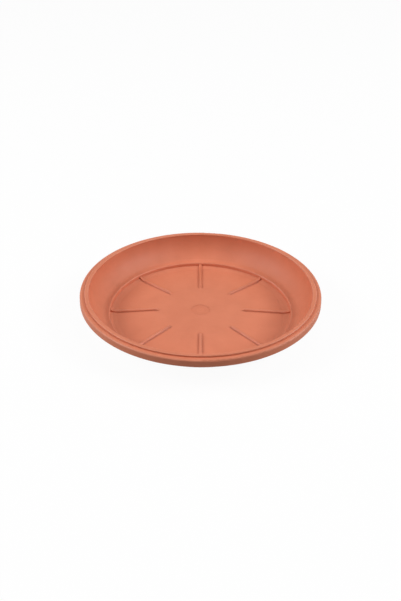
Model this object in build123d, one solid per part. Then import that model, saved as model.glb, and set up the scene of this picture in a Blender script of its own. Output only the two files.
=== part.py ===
from build123d import *
import math
import os

# A round plant saucer, injection moulded in one piece. Sizes are in millimetres.
# It stands on z = 0, its axis is the z axis, and one rib lies along +X.

# Whole saucer
saucer_diameter = 300.0
saucer_height = 41.0
wall_thickness = 1.5
edge_chamfer = 0.4

# Rim: a flat ridge round the mouth, a lower rounded shoulder and a skirt hanging clear of the wall
ridge_width = 5.2
ridge_height = 2.3
ridge_inner_round = 1.0
ridge_outer_round = 0.9
mouth_land_height = 2.5
shoulder_width = 6.0
shoulder_round = 2.0
skirt_height = 9.0
skirt_draft_angle = 1.0

# Side wall: a hollow curve of two arcs, tight at the foot and slow towards the mouth
cove_width = 20.6
cove_foot_share = 0.4
cove_mouth_turn = 84.0

# Ledge and riser: the step down from the side wall to the floor
ledge_width = 4.0
ledge_height = 5.8
ledge_round = 1.2
riser_run = 0.5

# Floor: a flat hub, a cone falling away from it, and a narrow border that turns up again
hub_radius = 52.5
hub_crown_height = 3.5
hub_crease_round = 10.0
gutter_round = 4.0
border_width = 5.5
border_rise = 0.6
border_round = 3.0
toe_width = 3.2
toe_rise = 1.0

# Foot ring, set in under the toe so that the skirt hides it from the front
foot_height = 2.4
foot_width = 3.0

# Ribs: round-shouldered bars that stand on the cone and run into the riser
rib_count = 8
rib_width = 3.2
rib_height = 2.1
rib_draft_angle = 5.0
rib_edge_round = 0.7
rib_ramp_lead = 2.0
rib_ramp_length = 5.5

# The tops of a rib are its faces whose normal rises by more than this share
upward_share = 0.5

# Gate mark: a shallow round recess in the middle of the hub
gate_radius = 12.0
gate_depth = 0.3

# How far a rib runs on inside the riser, and how far its bar stands out before it is cut to the section
overrun = 1.0


# Radii, from the rim inwards
rim_radius = saucer_diameter / 2
ridge_radius = rim_radius - shoulder_width
mouth_radius = ridge_radius - ridge_width
cove_radius = mouth_radius - cove_width
riser_top_radius = cove_radius - ledge_width
riser_foot_radius = riser_top_radius - riser_run
toe_radius = riser_foot_radius - toe_width
gutter_radius = toe_radius - border_width

# Heights of the upper faces, from the foot up
gutter_level = foot_height + wall_thickness
hub_level = gutter_level + hub_crown_height
toe_level = gutter_level + border_rise
riser_foot_level = toe_level + toe_rise
ledge_level = gutter_level + ledge_height
mouth_level = saucer_height - mouth_land_height
shoulder_level = saucer_height - ridge_height
skirt_level = shoulder_level - skirt_height

# The faces behind them, one wall further in
channel_level = shoulder_level - wall_thickness
ledge_underside = ledge_level - wall_thickness
ledge_back_radius = riser_top_radius + wall_thickness
riser_back_radius = riser_foot_radius + wall_thickness
foot_outer_radius = toe_radius
foot_inner_radius = foot_outer_radius - foot_width


# The arc at the foot of the side wall: its radius is a share of the width that the wall covers
foot_arc_radius = cove_foot_share * cove_width
foot_arc_centre = (cove_radius, ledge_level + foot_arc_radius)


def arc_to_mouth(mouth, turn):
    """Radius and centre of the arc that runs on from the foot arc and reaches the mouth at turn."""
    to_centre = (-math.sin(math.radians(turn)), math.cos(math.radians(turn)))
    run = mouth[0] - foot_arc_centre[0]
    rise = mouth[1] - foot_arc_centre[1]
    reach = run * to_centre[0] + rise * to_centre[1]
    radius = (foot_arc_radius**2 - run**2 - rise**2) / (2 * (foot_arc_radius + reach))
    return radius, (mouth[0] + radius * to_centre[0], mouth[1] + radius * to_centre[1])


upper_arc_radius, upper_arc_centre = arc_to_mouth((mouth_radius, mouth_level), cove_mouth_turn)

# Both arcs touch where the line through their centres meets them
cove_foot_turn = math.degrees(
    math.atan2(foot_arc_centre[0] - upper_arc_centre[0], upper_arc_centre[1] - foot_arc_centre[1])
)


def floor_line(lift):
    """The floor in section, from the hub's edge to the riser's foot, raised by lift."""
    return [
        (hub_radius, hub_level + lift),
        (gutter_radius, gutter_level + lift),
        (toe_radius, toe_level + lift),
        (riser_foot_radius, riser_foot_level + lift),
    ]


def dish_section():
    """Half of the section through the axis, drawn on the XZ plane."""
    skirt_draft = skirt_height * math.tan(math.radians(skirt_draft_angle))
    skirt_inner_radius = rim_radius - wall_thickness

    # The back of the side wall climbs as far as the roof of the channel behind the skirt
    upper_back_radius = upper_arc_radius + wall_thickness
    back_turn = math.degrees(math.acos((upper_arc_centre[1] - channel_level) / upper_back_radius))
    channel_radius = upper_arc_centre[0] + upper_back_radius * math.sin(math.radians(back_turn))

    with BuildSketch(Plane.XZ) as section:
        with BuildLine():
            FilletPolyline(
                (0, hub_level),
                *floor_line(0),
                (riser_top_radius, ledge_level),
                (cove_radius, ledge_level),
                radius=[hub_crease_round, gutter_round, border_round, 0, ledge_round],
            )
            CenterArc(foot_arc_centre, foot_arc_radius, -90, cove_foot_turn)
            CenterArc(
                upper_arc_centre, upper_arc_radius, cove_foot_turn - 90, cove_mouth_turn - cove_foot_turn
            )
            FilletPolyline(
                (mouth_radius, mouth_level),
                (mouth_radius, saucer_height),
                (ridge_radius, saucer_height),
                (ridge_radius, shoulder_level),
                (rim_radius - skirt_draft, shoulder_level),
                (rim_radius, skirt_level + edge_chamfer),
                radius=[ridge_inner_round, ridge_outer_round, 0, shoulder_round],
            )
            Polyline(
                (rim_radius, skirt_level + edge_chamfer),
                (rim_radius - edge_chamfer, skirt_level),
                (skirt_inner_radius, skirt_level),
                (skirt_inner_radius - skirt_draft, channel_level),
                (channel_radius, channel_level),
            )
            CenterArc(upper_arc_centre, upper_back_radius, back_turn - 90, cove_foot_turn - back_turn)
            CenterArc(
                foot_arc_centre, foot_arc_radius + wall_thickness, cove_foot_turn - 90, -cove_foot_turn
            )
            Polyline(
                (cove_radius, ledge_underside),
                (ledge_back_radius, ledge_underside),
                (riser_back_radius, riser_foot_level - wall_thickness),
                (foot_outer_radius, toe_level - wall_thickness),
                (foot_outer_radius, edge_chamfer),
                (foot_outer_radius - edge_chamfer, 0),
                (foot_inner_radius + edge_chamfer, 0),
                (foot_inner_radius, edge_chamfer),
                (foot_inner_radius, gutter_level - wall_thickness),
                (gutter_radius, gutter_level - wall_thickness),
                (hub_radius, hub_level - wall_thickness),
                (0, hub_level - wall_thickness),
                (0, hub_level),
            )
        make_face()
    return section.sketch


def rib():
    """One rib along +X: a tapered bar, cut to the line of the floor and rounded along its top."""
    start_radius = hub_radius - rib_ramp_lead
    ramp_end_radius = start_radius + rib_ramp_length
    end_radius = riser_foot_radius + overrun
    cone_slope = hub_crown_height / (gutter_radius - hub_radius)
    ramp_end_level = hub_level - cone_slope * (ramp_end_radius - hub_radius) + rib_height
    root_depth = wall_thickness / 2
    root_level = gutter_level - root_depth
    full_height = hub_level + rib_height - root_level
    root_width = rib_width + 2 * full_height * math.tan(math.radians(rib_draft_angle))

    with BuildPart() as bar:
        with BuildSketch(Plane.XY.offset(root_level)):
            with Locations(((start_radius + end_radius) / 2, 0)):
                Rectangle(end_radius - start_radius + 2 * overrun, root_width)
        extrude(amount=full_height + overrun, taper=rib_draft_angle)
        with BuildSketch(Plane.XZ):
            with BuildLine():
                Polyline(
                    (start_radius, hub_level - root_depth),
                    (start_radius, hub_level),
                    (ramp_end_radius, ramp_end_level),
                    *floor_line(rib_height)[1:],
                    (end_radius, riser_foot_level + rib_height),
                    (end_radius, riser_foot_level - root_depth),
                    *reversed(floor_line(-root_depth)),
                    close=True,
                )
            make_face()
        extrude(amount=root_width, both=True, mode=Mode.INTERSECT)
        flanks = bar.faces().sort_by(Axis.Y)[0:1] + bar.faces().sort_by(Axis.Y)[-1:]
        tops = bar.faces().filter_by(lambda face: face.normal_at().Z > upward_share)
        fillet(flanks.edges() & tops.edges(), rib_edge_round)
    return bar.part


def saucer():
    with BuildPart() as dish:
        add(dish_section())
        revolve(axis=Axis.Z)
        with PolarLocations(0, rib_count):
            add(rib())
        with BuildSketch(Plane.XY.offset(hub_level)):
            Circle(gate_radius)
        extrude(amount=-gate_depth, mode=Mode.SUBTRACT)
    return dish.part


os.makedirs("parts", exist_ok=True)
shape = saucer()
export_step(shape, "parts/saucer.step")
print("saucer: %d solid, volume %.0f mm3, %s" % (len(shape.solids()), shape.volume, shape.bounding_box()))
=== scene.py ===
import math

import bpy
import numpy as np
from mathutils import Matrix, Vector


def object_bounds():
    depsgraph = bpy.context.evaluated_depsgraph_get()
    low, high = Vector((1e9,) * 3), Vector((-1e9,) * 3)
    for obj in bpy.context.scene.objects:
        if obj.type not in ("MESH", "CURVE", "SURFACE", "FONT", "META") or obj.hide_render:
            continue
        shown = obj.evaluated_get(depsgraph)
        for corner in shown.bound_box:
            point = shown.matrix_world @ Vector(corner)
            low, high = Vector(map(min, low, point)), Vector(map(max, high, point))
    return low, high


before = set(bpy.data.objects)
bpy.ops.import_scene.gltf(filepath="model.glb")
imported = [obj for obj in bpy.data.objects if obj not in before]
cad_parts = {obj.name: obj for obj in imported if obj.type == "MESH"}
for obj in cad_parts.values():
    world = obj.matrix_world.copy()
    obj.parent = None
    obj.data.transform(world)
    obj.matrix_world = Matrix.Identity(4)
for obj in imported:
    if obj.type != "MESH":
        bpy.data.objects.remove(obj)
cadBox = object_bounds()
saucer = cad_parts["saucer"]
scene = bpy.context.scene

mm = 0.001
rimRadius, rimTop = cadBox[1][0], cadBox[1][2]
print("frame loaded: plant saucer", [round(side / mm) for side in cadBox[1] - cadBox[0]], "mm")


def hexToLinear(hexColour):
    # sRGB to linear: c / 12.92 near black, else ((c + 0.055) / 1.055) ^ 2.4, with a solid alpha
    channels = [int(hexColour[i:i + 2], 16) / 255 for i in (1, 3, 5)]
    linear = [c / 12.92 if c <= 0.04045 else ((c + 0.055) / 1.055) ** 2.4 for c in channels]
    return (*linear, 1.0)


def addNode(tree, kind, inputs=None, **settings):
    # one node: settings are its properties, inputs its sockets by name or number, linked where given a socket
    node = tree.nodes.new(kind)
    for name, value in settings.items():
        setattr(node, name, value)
    for name, value in (inputs or {}).items():
        if isinstance(value, bpy.types.NodeSocket):
            tree.links.new(value, node.inputs[name])
        else:
            node.inputs[name].default_value = value
    return node


def newMaterial(name):
    material = bpy.data.materials.new(name)
    material.use_nodes = True
    material.node_tree.nodes.clear()
    return material, material.node_tree


# the Mix node repeats its socket names for each kind of data, so these are its sockets by number
mixShare, numberA, numberB, colourA, colourB = 0, 2, 3, 6, 7
mixedNumber, mixedColour = 0, 2

# a noise texture's values: their middle, and the two that nearly all of them lie between
noiseMiddle = 0.5
noiseSpan = (0.3, 0.7)

# the saucer's finish: polypropylene, coloured through with a terracotta masterbatch and injection moulded
plastic = {
    "deepColour": "#D37A59",
    # painted highlight: the rubbed edges are tinted paler where light catches them, besides their real polish
    "paleColour": "#DB8261",
    "rubbedAndHighlitColour": "#E5977B",
    "roughness": (0.54, 0.64),
    "rubbedRoughness": 0.34,
    "ior": 1.49,
    "cloud": 24 * mm,               # soft clouds where the pigment mixed unevenly
    "cloudSwing": 0.8,
    "streaksAround": 70,            # flow lines that run out from the gate
    "streakLength": 45 * mm,
    "streakFade": (14 * mm, 60 * mm),
    "streakSwing": 0.4,
    "dimpleShadeRadius": 8.5 * mm,        # painted shade: a darker ring round the gate, standing in for the shading of its shallow dimple
    "dimpleShadeWidth": 5 * mm,
    "dimpleShadeDepth": 0.9,
    "gateRadius": 1.6 * mm,         # the snapped-off sprue in the middle of the hub
    "gateHeight": 0.35 * mm,
    "gateLevel": 6 * mm,            # over the underside and under the hub's upper face
    "satin": 3 * mm,                # patches that copied the mould a little more or less sharply
    "grain": 0.8 * mm,              # the mould's etched skin: about 0.1 mm, drawn coarser so that it shows
    "grainDepth": 0.009 * mm,
    "peel": 7 * mm,                 # the slow unevenness that shrinking leaves
    "peelDepth": 0.05 * mm,
    "paintedShadeColour": "#A04B2E",      # painted shade: the inner corners of the floor are darkened, where shade falls
    "paintedShadeShare": 0.4,
    "paintedShadeReach": 3.5 * mm,
    "paintedShadeOpenness": (0.95, 0.45),             # none where a place is this open, most where this shut in
    "creaseInside": (30 * mm, 45 * mm),         # none on the hub within the first radius
    "paintedShadeOutside": (117.5 * mm, 116 * mm),    # none on the ledge beyond the first radius
    "rubAndHighlightShare": 0.45,
    "rubAndHighlightPatch": 25 * mm,            # hands don't polish an edge evenly, and the painted highlight on it follows the same patches
    "rubAndHighlightPatchLeast": 0.6,
    "rubbedAndHighlitEdges": {                # worn by hands, pots and stacking, and painted paler as a highlight: radius, height and how far the rub reaches
        "ridgeInside": (rimRadius - 11.2 * mm, rimTop, 1.6 * mm),
        "ridgeOutside": (rimRadius - 6 * mm, rimTop, 1.6 * mm),
        "shoulder": (rimRadius, rimTop - 2.3 * mm, 2.6 * mm),
        "skirtFoot": (rimRadius, rimTop - 11.3 * mm, 1.2 * mm),
        "ledge": (rimRadius - 35.8 * mm, rimTop - 31.3 * mm, 1.5 * mm),
    },
    "ribs": {                       # which a pot's foot polishes
        "hubEdge": (52.5 * mm, 7.4 * mm),       # the floor that they stand on: radius and height
        "gutter": (105 * mm, 3.9 * mm),
        "rise": (0.7 * mm, 1.7 * mm),           # over the floor, from dull to polished
        "end": (107 * mm, 111 * mm),
        "softness": 3.2 * mm,                   # how far their corners are worn soft
    },
}


def polarPlace(tree, place):
    # distance from the axis, direction from the axis as a unit vector, and height
    flat = addNode(tree, "ShaderNodeVectorMath", {0: place, 1: (1, 1, 0)}, operation="MULTIPLY").outputs[0]
    reach = addNode(tree, "ShaderNodeVectorMath", {0: flat}, operation="LENGTH").outputs["Value"]
    turn = addNode(tree, "ShaderNodeVectorMath", {0: flat}, operation="NORMALIZE").outputs[0]
    height = addNode(tree, "ShaderNodeSeparateXYZ", {0: place}).outputs["Z"]
    return reach, turn, height


def toneOf(tree, settings, place, reach, turn):
    # one half, plus each pattern's swing about its middle: clouds in space, streaks by direction and reach;
    # less the painted shade round the gate, darkest at its own radius
    cloud = addNode(tree, "ShaderNodeTexNoise", {
        "Vector": place, "Scale": 1 / settings["cloud"], "Detail": 2.0, "Roughness": 0.45}).outputs["Fac"]
    cloudTone = addNode(tree, "ShaderNodeMapRange", {
        "Value": cloud, "From Min": 0.0, "From Max": 1.0, "To Min": noiseMiddle - settings["cloudSwing"],
        "To Max": noiseMiddle + settings["cloudSwing"]}).outputs[0]
    around = addNode(tree, "ShaderNodeVectorMath", {
        0: turn, "Scale": settings["streaksAround"] / math.tau}, operation="SCALE").outputs[0]
    along = addNode(tree, "ShaderNodeMath", {0: reach, 1: settings["streakLength"]},
                    operation="DIVIDE").outputs[0]
    alongAxis = addNode(tree, "ShaderNodeCombineXYZ", {"Z": along}).outputs[0]
    streakPlace = addNode(tree, "ShaderNodeVectorMath", {0: around, 1: alongAxis}, operation="ADD").outputs[0]
    streak = addNode(tree, "ShaderNodeTexNoise", {
        "Vector": streakPlace, "Scale": 1.0, "Detail": 2.0, "Roughness": 0.5}).outputs["Fac"]
    aboutMiddle = addNode(tree, "ShaderNodeMath", {0: streak, 1: noiseMiddle},
                          operation="SUBTRACT").outputs[0]
    fadeStart, fadeEnd = settings["streakFade"]
    fade = addNode(tree, "ShaderNodeMapRange", {
        "Value": reach, "From Min": fadeStart, "From Max": fadeEnd, "To Min": 0.0,
        "To Max": settings["streakSwing"]}, interpolation_type="SMOOTHSTEP").outputs[0]
    clouded = addNode(tree, "ShaderNodeMath", {0: aboutMiddle, 1: fade, 2: cloudTone},
                      operation="MULTIPLY_ADD").outputs[0]
    # painted shade: a darker ring round the gate
    fromDimpleShade = addNode(tree, "ShaderNodeMath", {0: reach, 1: settings["dimpleShadeRadius"]},
                       operation="SUBTRACT").outputs[0]
    offDimpleShade = addNode(tree, "ShaderNodeMath", {0: fromDimpleShade}, operation="ABSOLUTE").outputs[0]
    dimpleShade = addNode(tree, "ShaderNodeMapRange", {
        "Value": offDimpleShade, "From Min": settings["dimpleShadeWidth"], "From Max": 0.0,
        "To Max": settings["dimpleShadeDepth"]}, interpolation_type="SMOOTHSTEP").outputs[0]
    return addNode(tree, "ShaderNodeMath", {0: clouded, 1: dimpleShade}, operation="SUBTRACT",
                   use_clamp=True).outputs[0]


def ribRubOf(tree, ribs, reach, height):
    # the height over the cone between the hub's edge and the gutter, and none past the ribs' outer ends
    (hubRadius, hubLevel), (gutterRadius, gutterLevel) = ribs["hubEdge"], ribs["gutter"]
    cone = addNode(tree, "ShaderNodeMapRange", {
        "Value": reach, "From Min": hubRadius, "From Max": gutterRadius, "To Min": hubLevel,
        "To Max": gutterLevel}).outputs[0]
    rise = addNode(tree, "ShaderNodeMath", {0: height, 1: cone}, operation="SUBTRACT").outputs[0]
    high = addNode(tree, "ShaderNodeMapRange", {
        "Value": rise, "From Min": ribs["rise"][0], "From Max": ribs["rise"][1]},
        interpolation_type="SMOOTHSTEP").outputs[0]
    inside = addNode(tree, "ShaderNodeMapRange", {
        "Value": reach, "From Min": ribs["end"][1], "From Max": ribs["end"][0]}).outputs[0]
    return addNode(tree, "ShaderNodeMath", {0: high, 1: inside}, operation="MULTIPLY").outputs[0]


def rubAndHighlightOf(tree, settings, place, reach, height):
    # strongest on each rubbed edge, nothing beyond its reach, and broken into patches; it both polishes the
    # edge and paints a highlight on it
    section = addNode(tree, "ShaderNodeCombineXYZ", {"X": reach, "Z": height}).outputs[0]
    strongest = None
    for edgeRadius, edgeHeight, width in settings["rubbedAndHighlitEdges"].values():
        away = addNode(tree, "ShaderNodeVectorMath", {0: section, 1: (edgeRadius, 0, edgeHeight)},
                       operation="DISTANCE").outputs["Value"]
        near = addNode(tree, "ShaderNodeMapRange", {
            "Value": away, "From Min": width, "From Max": 0.0}, interpolation_type="SMOOTHSTEP").outputs[0]
        strongest = near if strongest is None else addNode(
            tree, "ShaderNodeMath", {0: strongest, 1: near}, operation="MAXIMUM").outputs[0]
    patch = addNode(tree, "ShaderNodeTexNoise", {
        "Vector": place, "Scale": 1 / settings["rubAndHighlightPatch"], "Detail": 3.0, "Roughness": 0.6}).outputs["Fac"]
    patchShare = addNode(tree, "ShaderNodeMapRange", {
        "Value": patch, "From Min": noiseSpan[0], "From Max": noiseSpan[1],
        "To Min": settings["rubAndHighlightPatchLeast"], "To Max": 1.0}).outputs[0]
    return addNode(tree, "ShaderNodeMath", {0: strongest, 1: patchShare}, operation="MULTIPLY").outputs[0]


def paintedShadeOf(tree, settings, reach):
    # painted shade, by how shut in a place is: 0 on open faces, most in an inner corner, and on the floor
    # only
    openness = addNode(tree, "ShaderNodeAmbientOcclusion", {"Distance": settings["paintedShadeReach"]},
                       samples=8).outputs["AO"]
    clear, shut = settings["paintedShadeOpenness"]
    crease = addNode(tree, "ShaderNodeMapRange", {
        "Value": openness, "From Min": clear, "From Max": shut,
        "To Max": settings["paintedShadeShare"]}).outputs[0]
    for none, full in (settings["creaseInside"], settings["paintedShadeOutside"]):
        share = addNode(tree, "ShaderNodeMapRange", {
            "Value": reach, "From Min": none, "From Max": full}).outputs[0]
        crease = addNode(tree, "ShaderNodeMath", {0: crease, 1: share}, operation="MULTIPLY").outputs[0]
    return crease


def skinOf(tree, settings, place, reach, height):
    # soft rib corners, then three bumps: slow peel, fine grain, and the sprue's stub on the upper side
    ribs = settings["ribs"]
    softness = addNode(tree, "ShaderNodeMapRange", {
        "Value": reach, "From Min": ribs["end"][0], "From Max": ribs["end"][1], "To Min": ribs["softness"],
        "To Max": 0.0}).outputs[0]
    softCorners = addNode(tree, "ShaderNodeBevel", {"Radius": softness}, samples=6).outputs[0]
    peel = addNode(tree, "ShaderNodeTexNoise", {
        "Vector": place, "Scale": 1 / settings["peel"], "Detail": 1.0, "Roughness": 0.4}).outputs["Fac"]
    peelBump = addNode(tree, "ShaderNodeBump", {
        "Distance": settings["peelDepth"], "Height": peel, "Normal": softCorners}).outputs[0]
    grain = addNode(tree, "ShaderNodeTexNoise", {
        "Vector": place, "Scale": 1 / settings["grain"], "Detail": 2.0, "Roughness": 0.55}).outputs["Fac"]
    grainBump = addNode(tree, "ShaderNodeBump", {
        "Distance": settings["grainDepth"], "Height": grain, "Normal": peelBump}).outputs[0]
    stub = addNode(tree, "ShaderNodeMapRange", {
        "Value": reach, "From Min": settings["gateRadius"], "From Max": 0.0},
        interpolation_type="SMOOTHSTEP").outputs[0]
    upperSide = addNode(tree, "ShaderNodeMath", {0: height, 1: settings["gateLevel"]},
                        operation="GREATER_THAN").outputs[0]
    stubHeight = addNode(tree, "ShaderNodeMath", {0: stub, 1: upperSide}, operation="MULTIPLY").outputs[0]
    return addNode(tree, "ShaderNodeBump", {
        "Distance": settings["gateHeight"], "Height": stubHeight, "Normal": grainBump}).outputs[0]


def mouldedPolypropylene(settings):
    # satin and slightly waxy: wide soft highlights on every rounded edge, and no sharp reflection anywhere
    material, tree = newMaterial("injectionMouldedPolypropylene")
    place = addNode(tree, "ShaderNodeTexCoord").outputs["Object"]
    reach, turn, height = polarPlace(tree, place)
    tone = toneOf(tree, settings, place, reach, turn)
    rubAndHighlight = rubAndHighlightOf(tree, settings, place, reach, height)
    ribRub = ribRubOf(tree, settings["ribs"], reach, height)
    # painted highlight: the rubbed edges get a paler colour as well as a lower roughness
    rubAndHighlightTint = addNode(tree, "ShaderNodeMath", {0: rubAndHighlight, 1: settings["rubAndHighlightShare"]},
                      operation="MULTIPLY").outputs[0]
    moulded = addNode(tree, "ShaderNodeMix", {
        mixShare: tone, colourA: hexToLinear(settings["deepColour"]),
        colourB: hexToLinear(settings["paleColour"])}, data_type="RGBA").outputs[mixedColour]
    rubbedAndHighlit = addNode(tree, "ShaderNodeMix", {
        mixShare: rubAndHighlightTint, colourA: moulded, colourB: hexToLinear(settings["rubbedAndHighlitColour"])},
        data_type="RGBA").outputs[mixedColour]
    # painted shade darkens the inner corners of the floor
    colour = addNode(tree, "ShaderNodeMix", {
        mixShare: paintedShadeOf(tree, settings, reach), colourA: rubbedAndHighlit,
        colourB: hexToLinear(settings["paintedShadeColour"])}, data_type="RGBA").outputs[mixedColour]
    satin = addNode(tree, "ShaderNodeTexNoise", {
        "Vector": place, "Scale": 1 / settings["satin"], "Detail": 2.0, "Roughness": 0.5}).outputs["Fac"]
    smooth, rough = settings["roughness"]
    mouldedRoughness = addNode(tree, "ShaderNodeMapRange", {
        "Value": satin, "From Min": noiseSpan[0], "From Max": noiseSpan[1], "To Min": smooth,
        "To Max": rough}).outputs[0]
    polish = addNode(tree, "ShaderNodeMath", {0: rubAndHighlight, 1: ribRub}, operation="MAXIMUM").outputs[0]
    roughness = addNode(tree, "ShaderNodeMix", {
        mixShare: polish, numberA: mouldedRoughness, numberB: settings["rubbedRoughness"]},
        data_type="FLOAT").outputs[mixedNumber]
    shader = addNode(tree, "ShaderNodeBsdfPrincipled", {
        "Base Color": colour,
        "Roughness": roughness,
        "IOR": settings["ior"],
        "Normal": skinOf(tree, settings, place, reach, height),
    })
    addNode(tree, "ShaderNodeOutputMaterial", {"Surface": shader.outputs["BSDF"]})
    return material


saucer.data.materials.clear()
saucer.data.materials.append(mouldedPolypropylene(plastic))
print("saucer: moulded polypropylene")


# the stage: a round floor, seen as plain white with a faint shadow
floorPlan = {
    "radius": 3.0,
    "rings": 24,
    "spokes": 96,
    "drop": 0.05 * mm,              # under the foot ring, so that the two faces don't fight
    "whiteShare": 0.955,            # the rest is painted, and takes the shadow
    "seenColour": "#FCFCFC",
    "bounceColour": "#A6A6A6",
}


def discMesh(name, radius, rings, spokes, height):
    # point (i, j): radius * i / rings from the centre, turned by 2 pi j / spokes
    ring, spoke = np.meshgrid(np.arange(1, rings + 1), np.arange(spokes), indexing="ij")
    reach = radius * ring / rings
    turn = 2 * np.pi * spoke / spokes
    points = np.stack([reach * np.cos(turn), reach * np.sin(turn), np.full(reach.shape, height)], axis=-1)
    points = np.vstack([[[0, 0, height]], points.reshape(-1, 3)])
    index = 1 + np.arange(rings * spokes).reshape(rings, spokes)
    following = np.roll(index, -1, axis=1)
    quads = np.stack([index[:-1], index[1:], following[1:], following[:-1]], axis=-1).reshape(-1, 4)
    hub = np.stack([np.zeros(spokes, int), index[0], following[0]], axis=-1)
    mesh = bpy.data.meshes.new(name)
    mesh.from_pydata(points.tolist(), [], hub.tolist() + quads.tolist())
    return mesh


def seenDirectly(tree):
    # 1 for what the camera sees, straight, mirrored or through glass, and 0 for light that only bounces
    path = addNode(tree, "ShaderNodeLightPath")
    straight = addNode(tree, "ShaderNodeMath", {
        0: path.outputs["Is Camera Ray"], 1: path.outputs["Is Glossy Ray"]}, operation="MAXIMUM").outputs[0]
    return addNode(tree, "ShaderNodeMath", {0: straight, 1: path.outputs["Is Transmission Ray"]},
                   operation="MAXIMUM").outputs[0]


def floorMaterial(settings):
    # white to the camera and in reflections, mid grey to the light that it bounces up
    material, tree = newMaterial("paintedStageFloor")
    white = addNode(tree, "ShaderNodeEmission", {"Strength": 1.0})
    shaded = addNode(tree, "ShaderNodeBsdfDiffuse", {"Color": hexToLinear(settings["seenColour"])})
    pale = addNode(tree, "ShaderNodeMixShader", {
        "Fac": settings["whiteShare"], 1: shaded.outputs[0], 2: white.outputs[0]})
    dull = addNode(tree, "ShaderNodeBsdfDiffuse", {"Color": hexToLinear(settings["bounceColour"])})
    front = addNode(tree, "ShaderNodeMixShader", {
        "Fac": seenDirectly(tree), 1: dull.outputs[0], 2: pale.outputs[0]})
    addNode(tree, "ShaderNodeOutputMaterial", {"Surface": front.outputs[0]})
    return material


floor = bpy.data.objects.new("floor", discMesh("floor", floorPlan["radius"], floorPlan["rings"],
                                               floorPlan["spokes"], -floorPlan["drop"]))
floor.data.materials.append(floorMaterial(floorPlan))
scene.collection.objects.link(floor)
print("stage: floor")


# the camera: its place was found from the ellipses of the rim and the ledge and the lines of the ribs
cameraPlan = {
    "distance": 1.076,              # metres from the aimed point
    "azimuth": -0.4,                # degrees from straight in front
    "elevation": 31.97,
    "aimHeight": 36.4 * mm,
    "focalPixels": 862.0,           # the focal length, in pixels of a picture with this long side
    "longSidePixels": 601,
    "sensorWidth": 36.0,            # millimetres, as Blender gives its lens
    "lowered": 10.0,                # pixels that the aimed point sits over the picture's middle
    "roll": 0.57,
}


def placeCamera(settings):
    # looks at the aimed point from the front, then dips until it sits as far over the middle as it should
    lens = bpy.data.cameras.new("camera")
    lens.sensor_width = settings["sensorWidth"]
    lens.lens = settings["focalPixels"] / settings["longSidePixels"] * settings["sensorWidth"]
    camera = bpy.data.objects.new("camera", lens)
    scene.collection.objects.link(camera)
    elevation = math.radians(settings["elevation"])
    back = Vector((0, -math.cos(elevation), math.sin(elevation)))
    dip = math.atan(settings["lowered"] / settings["focalPixels"])
    camera.matrix_world = (
        Matrix.Rotation(math.radians(settings["azimuth"]), 4, "Z")
        @ Matrix.Translation(Vector((0, 0, settings["aimHeight"])) + back * settings["distance"])
        @ Matrix.Rotation(math.pi / 2 - elevation - dip, 4, "X")
        @ Matrix.Rotation(math.radians(settings["roll"]), 4, "Z")
    )
    scene.camera = camera


placeCamera(cameraPlan)
print("camera set")


# the light: a wide soft box on each side, and a weaker square one overhead, a little behind the saucer
lamps = {
    "rightBox": {"azimuth": -8, "elevation": 37, "distance": 2.5, "size": (1.5, 0.9), "power": 40.5},
    "leftBox": {"azimuth": 188, "elevation": 37, "distance": 2.5, "size": (1.5, 0.9), "power": 41.5},
    "topBox": {"azimuth": 60, "elevation": 74, "distance": 2.5, "size": (1.2, 1.2), "power": 9.7},
}


def softBox(name, settings):
    # stands at an azimuth and elevation in degrees, as seen from the saucer, and faces it; power is in watts
    light = bpy.data.lights.new(name, "AREA")
    light.shape = "RECTANGLE"
    light.size, light.size_y = settings["size"]
    light.energy = settings["power"]
    azimuth, elevation = math.radians(settings["azimuth"]), math.radians(settings["elevation"])
    toward = Vector((math.cos(elevation) * math.cos(azimuth), math.cos(elevation) * math.sin(azimuth),
                     math.sin(elevation)))
    lamp = bpy.data.objects.new(name, light)
    lamp.location = toward * settings["distance"]
    lamp.rotation_mode = "QUATERNION"
    lamp.rotation_quaternion = (-toward).to_track_quat("-Z", "Y")
    scene.collection.objects.link(lamp)


for name, settings in lamps.items():
    softBox(name, settings)

# the room: white where it is seen, and a weak grey as light
room = {"seenStrength": 1.0, "lightStrength": 0.02}


def paintWorld(settings):
    world = bpy.data.worlds.new("studio")
    world.use_nodes = True
    tree = world.node_tree
    tree.nodes.clear()
    dim = addNode(tree, "ShaderNodeBackground", {"Strength": settings["lightStrength"]})
    white = addNode(tree, "ShaderNodeBackground", {
        "Color": (1, 1, 1, 1), "Strength": settings["seenStrength"]})
    mixed = addNode(tree, "ShaderNodeMixShader", {
        "Fac": seenDirectly(tree), 1: dim.outputs[0], 2: white.outputs[0]})
    addNode(tree, "ShaderNodeOutputWorld", {"Surface": mixed.outputs[0]})
    scene.world = world


paintWorld(room)
scene.view_settings.view_transform = "Standard"
print("light set")
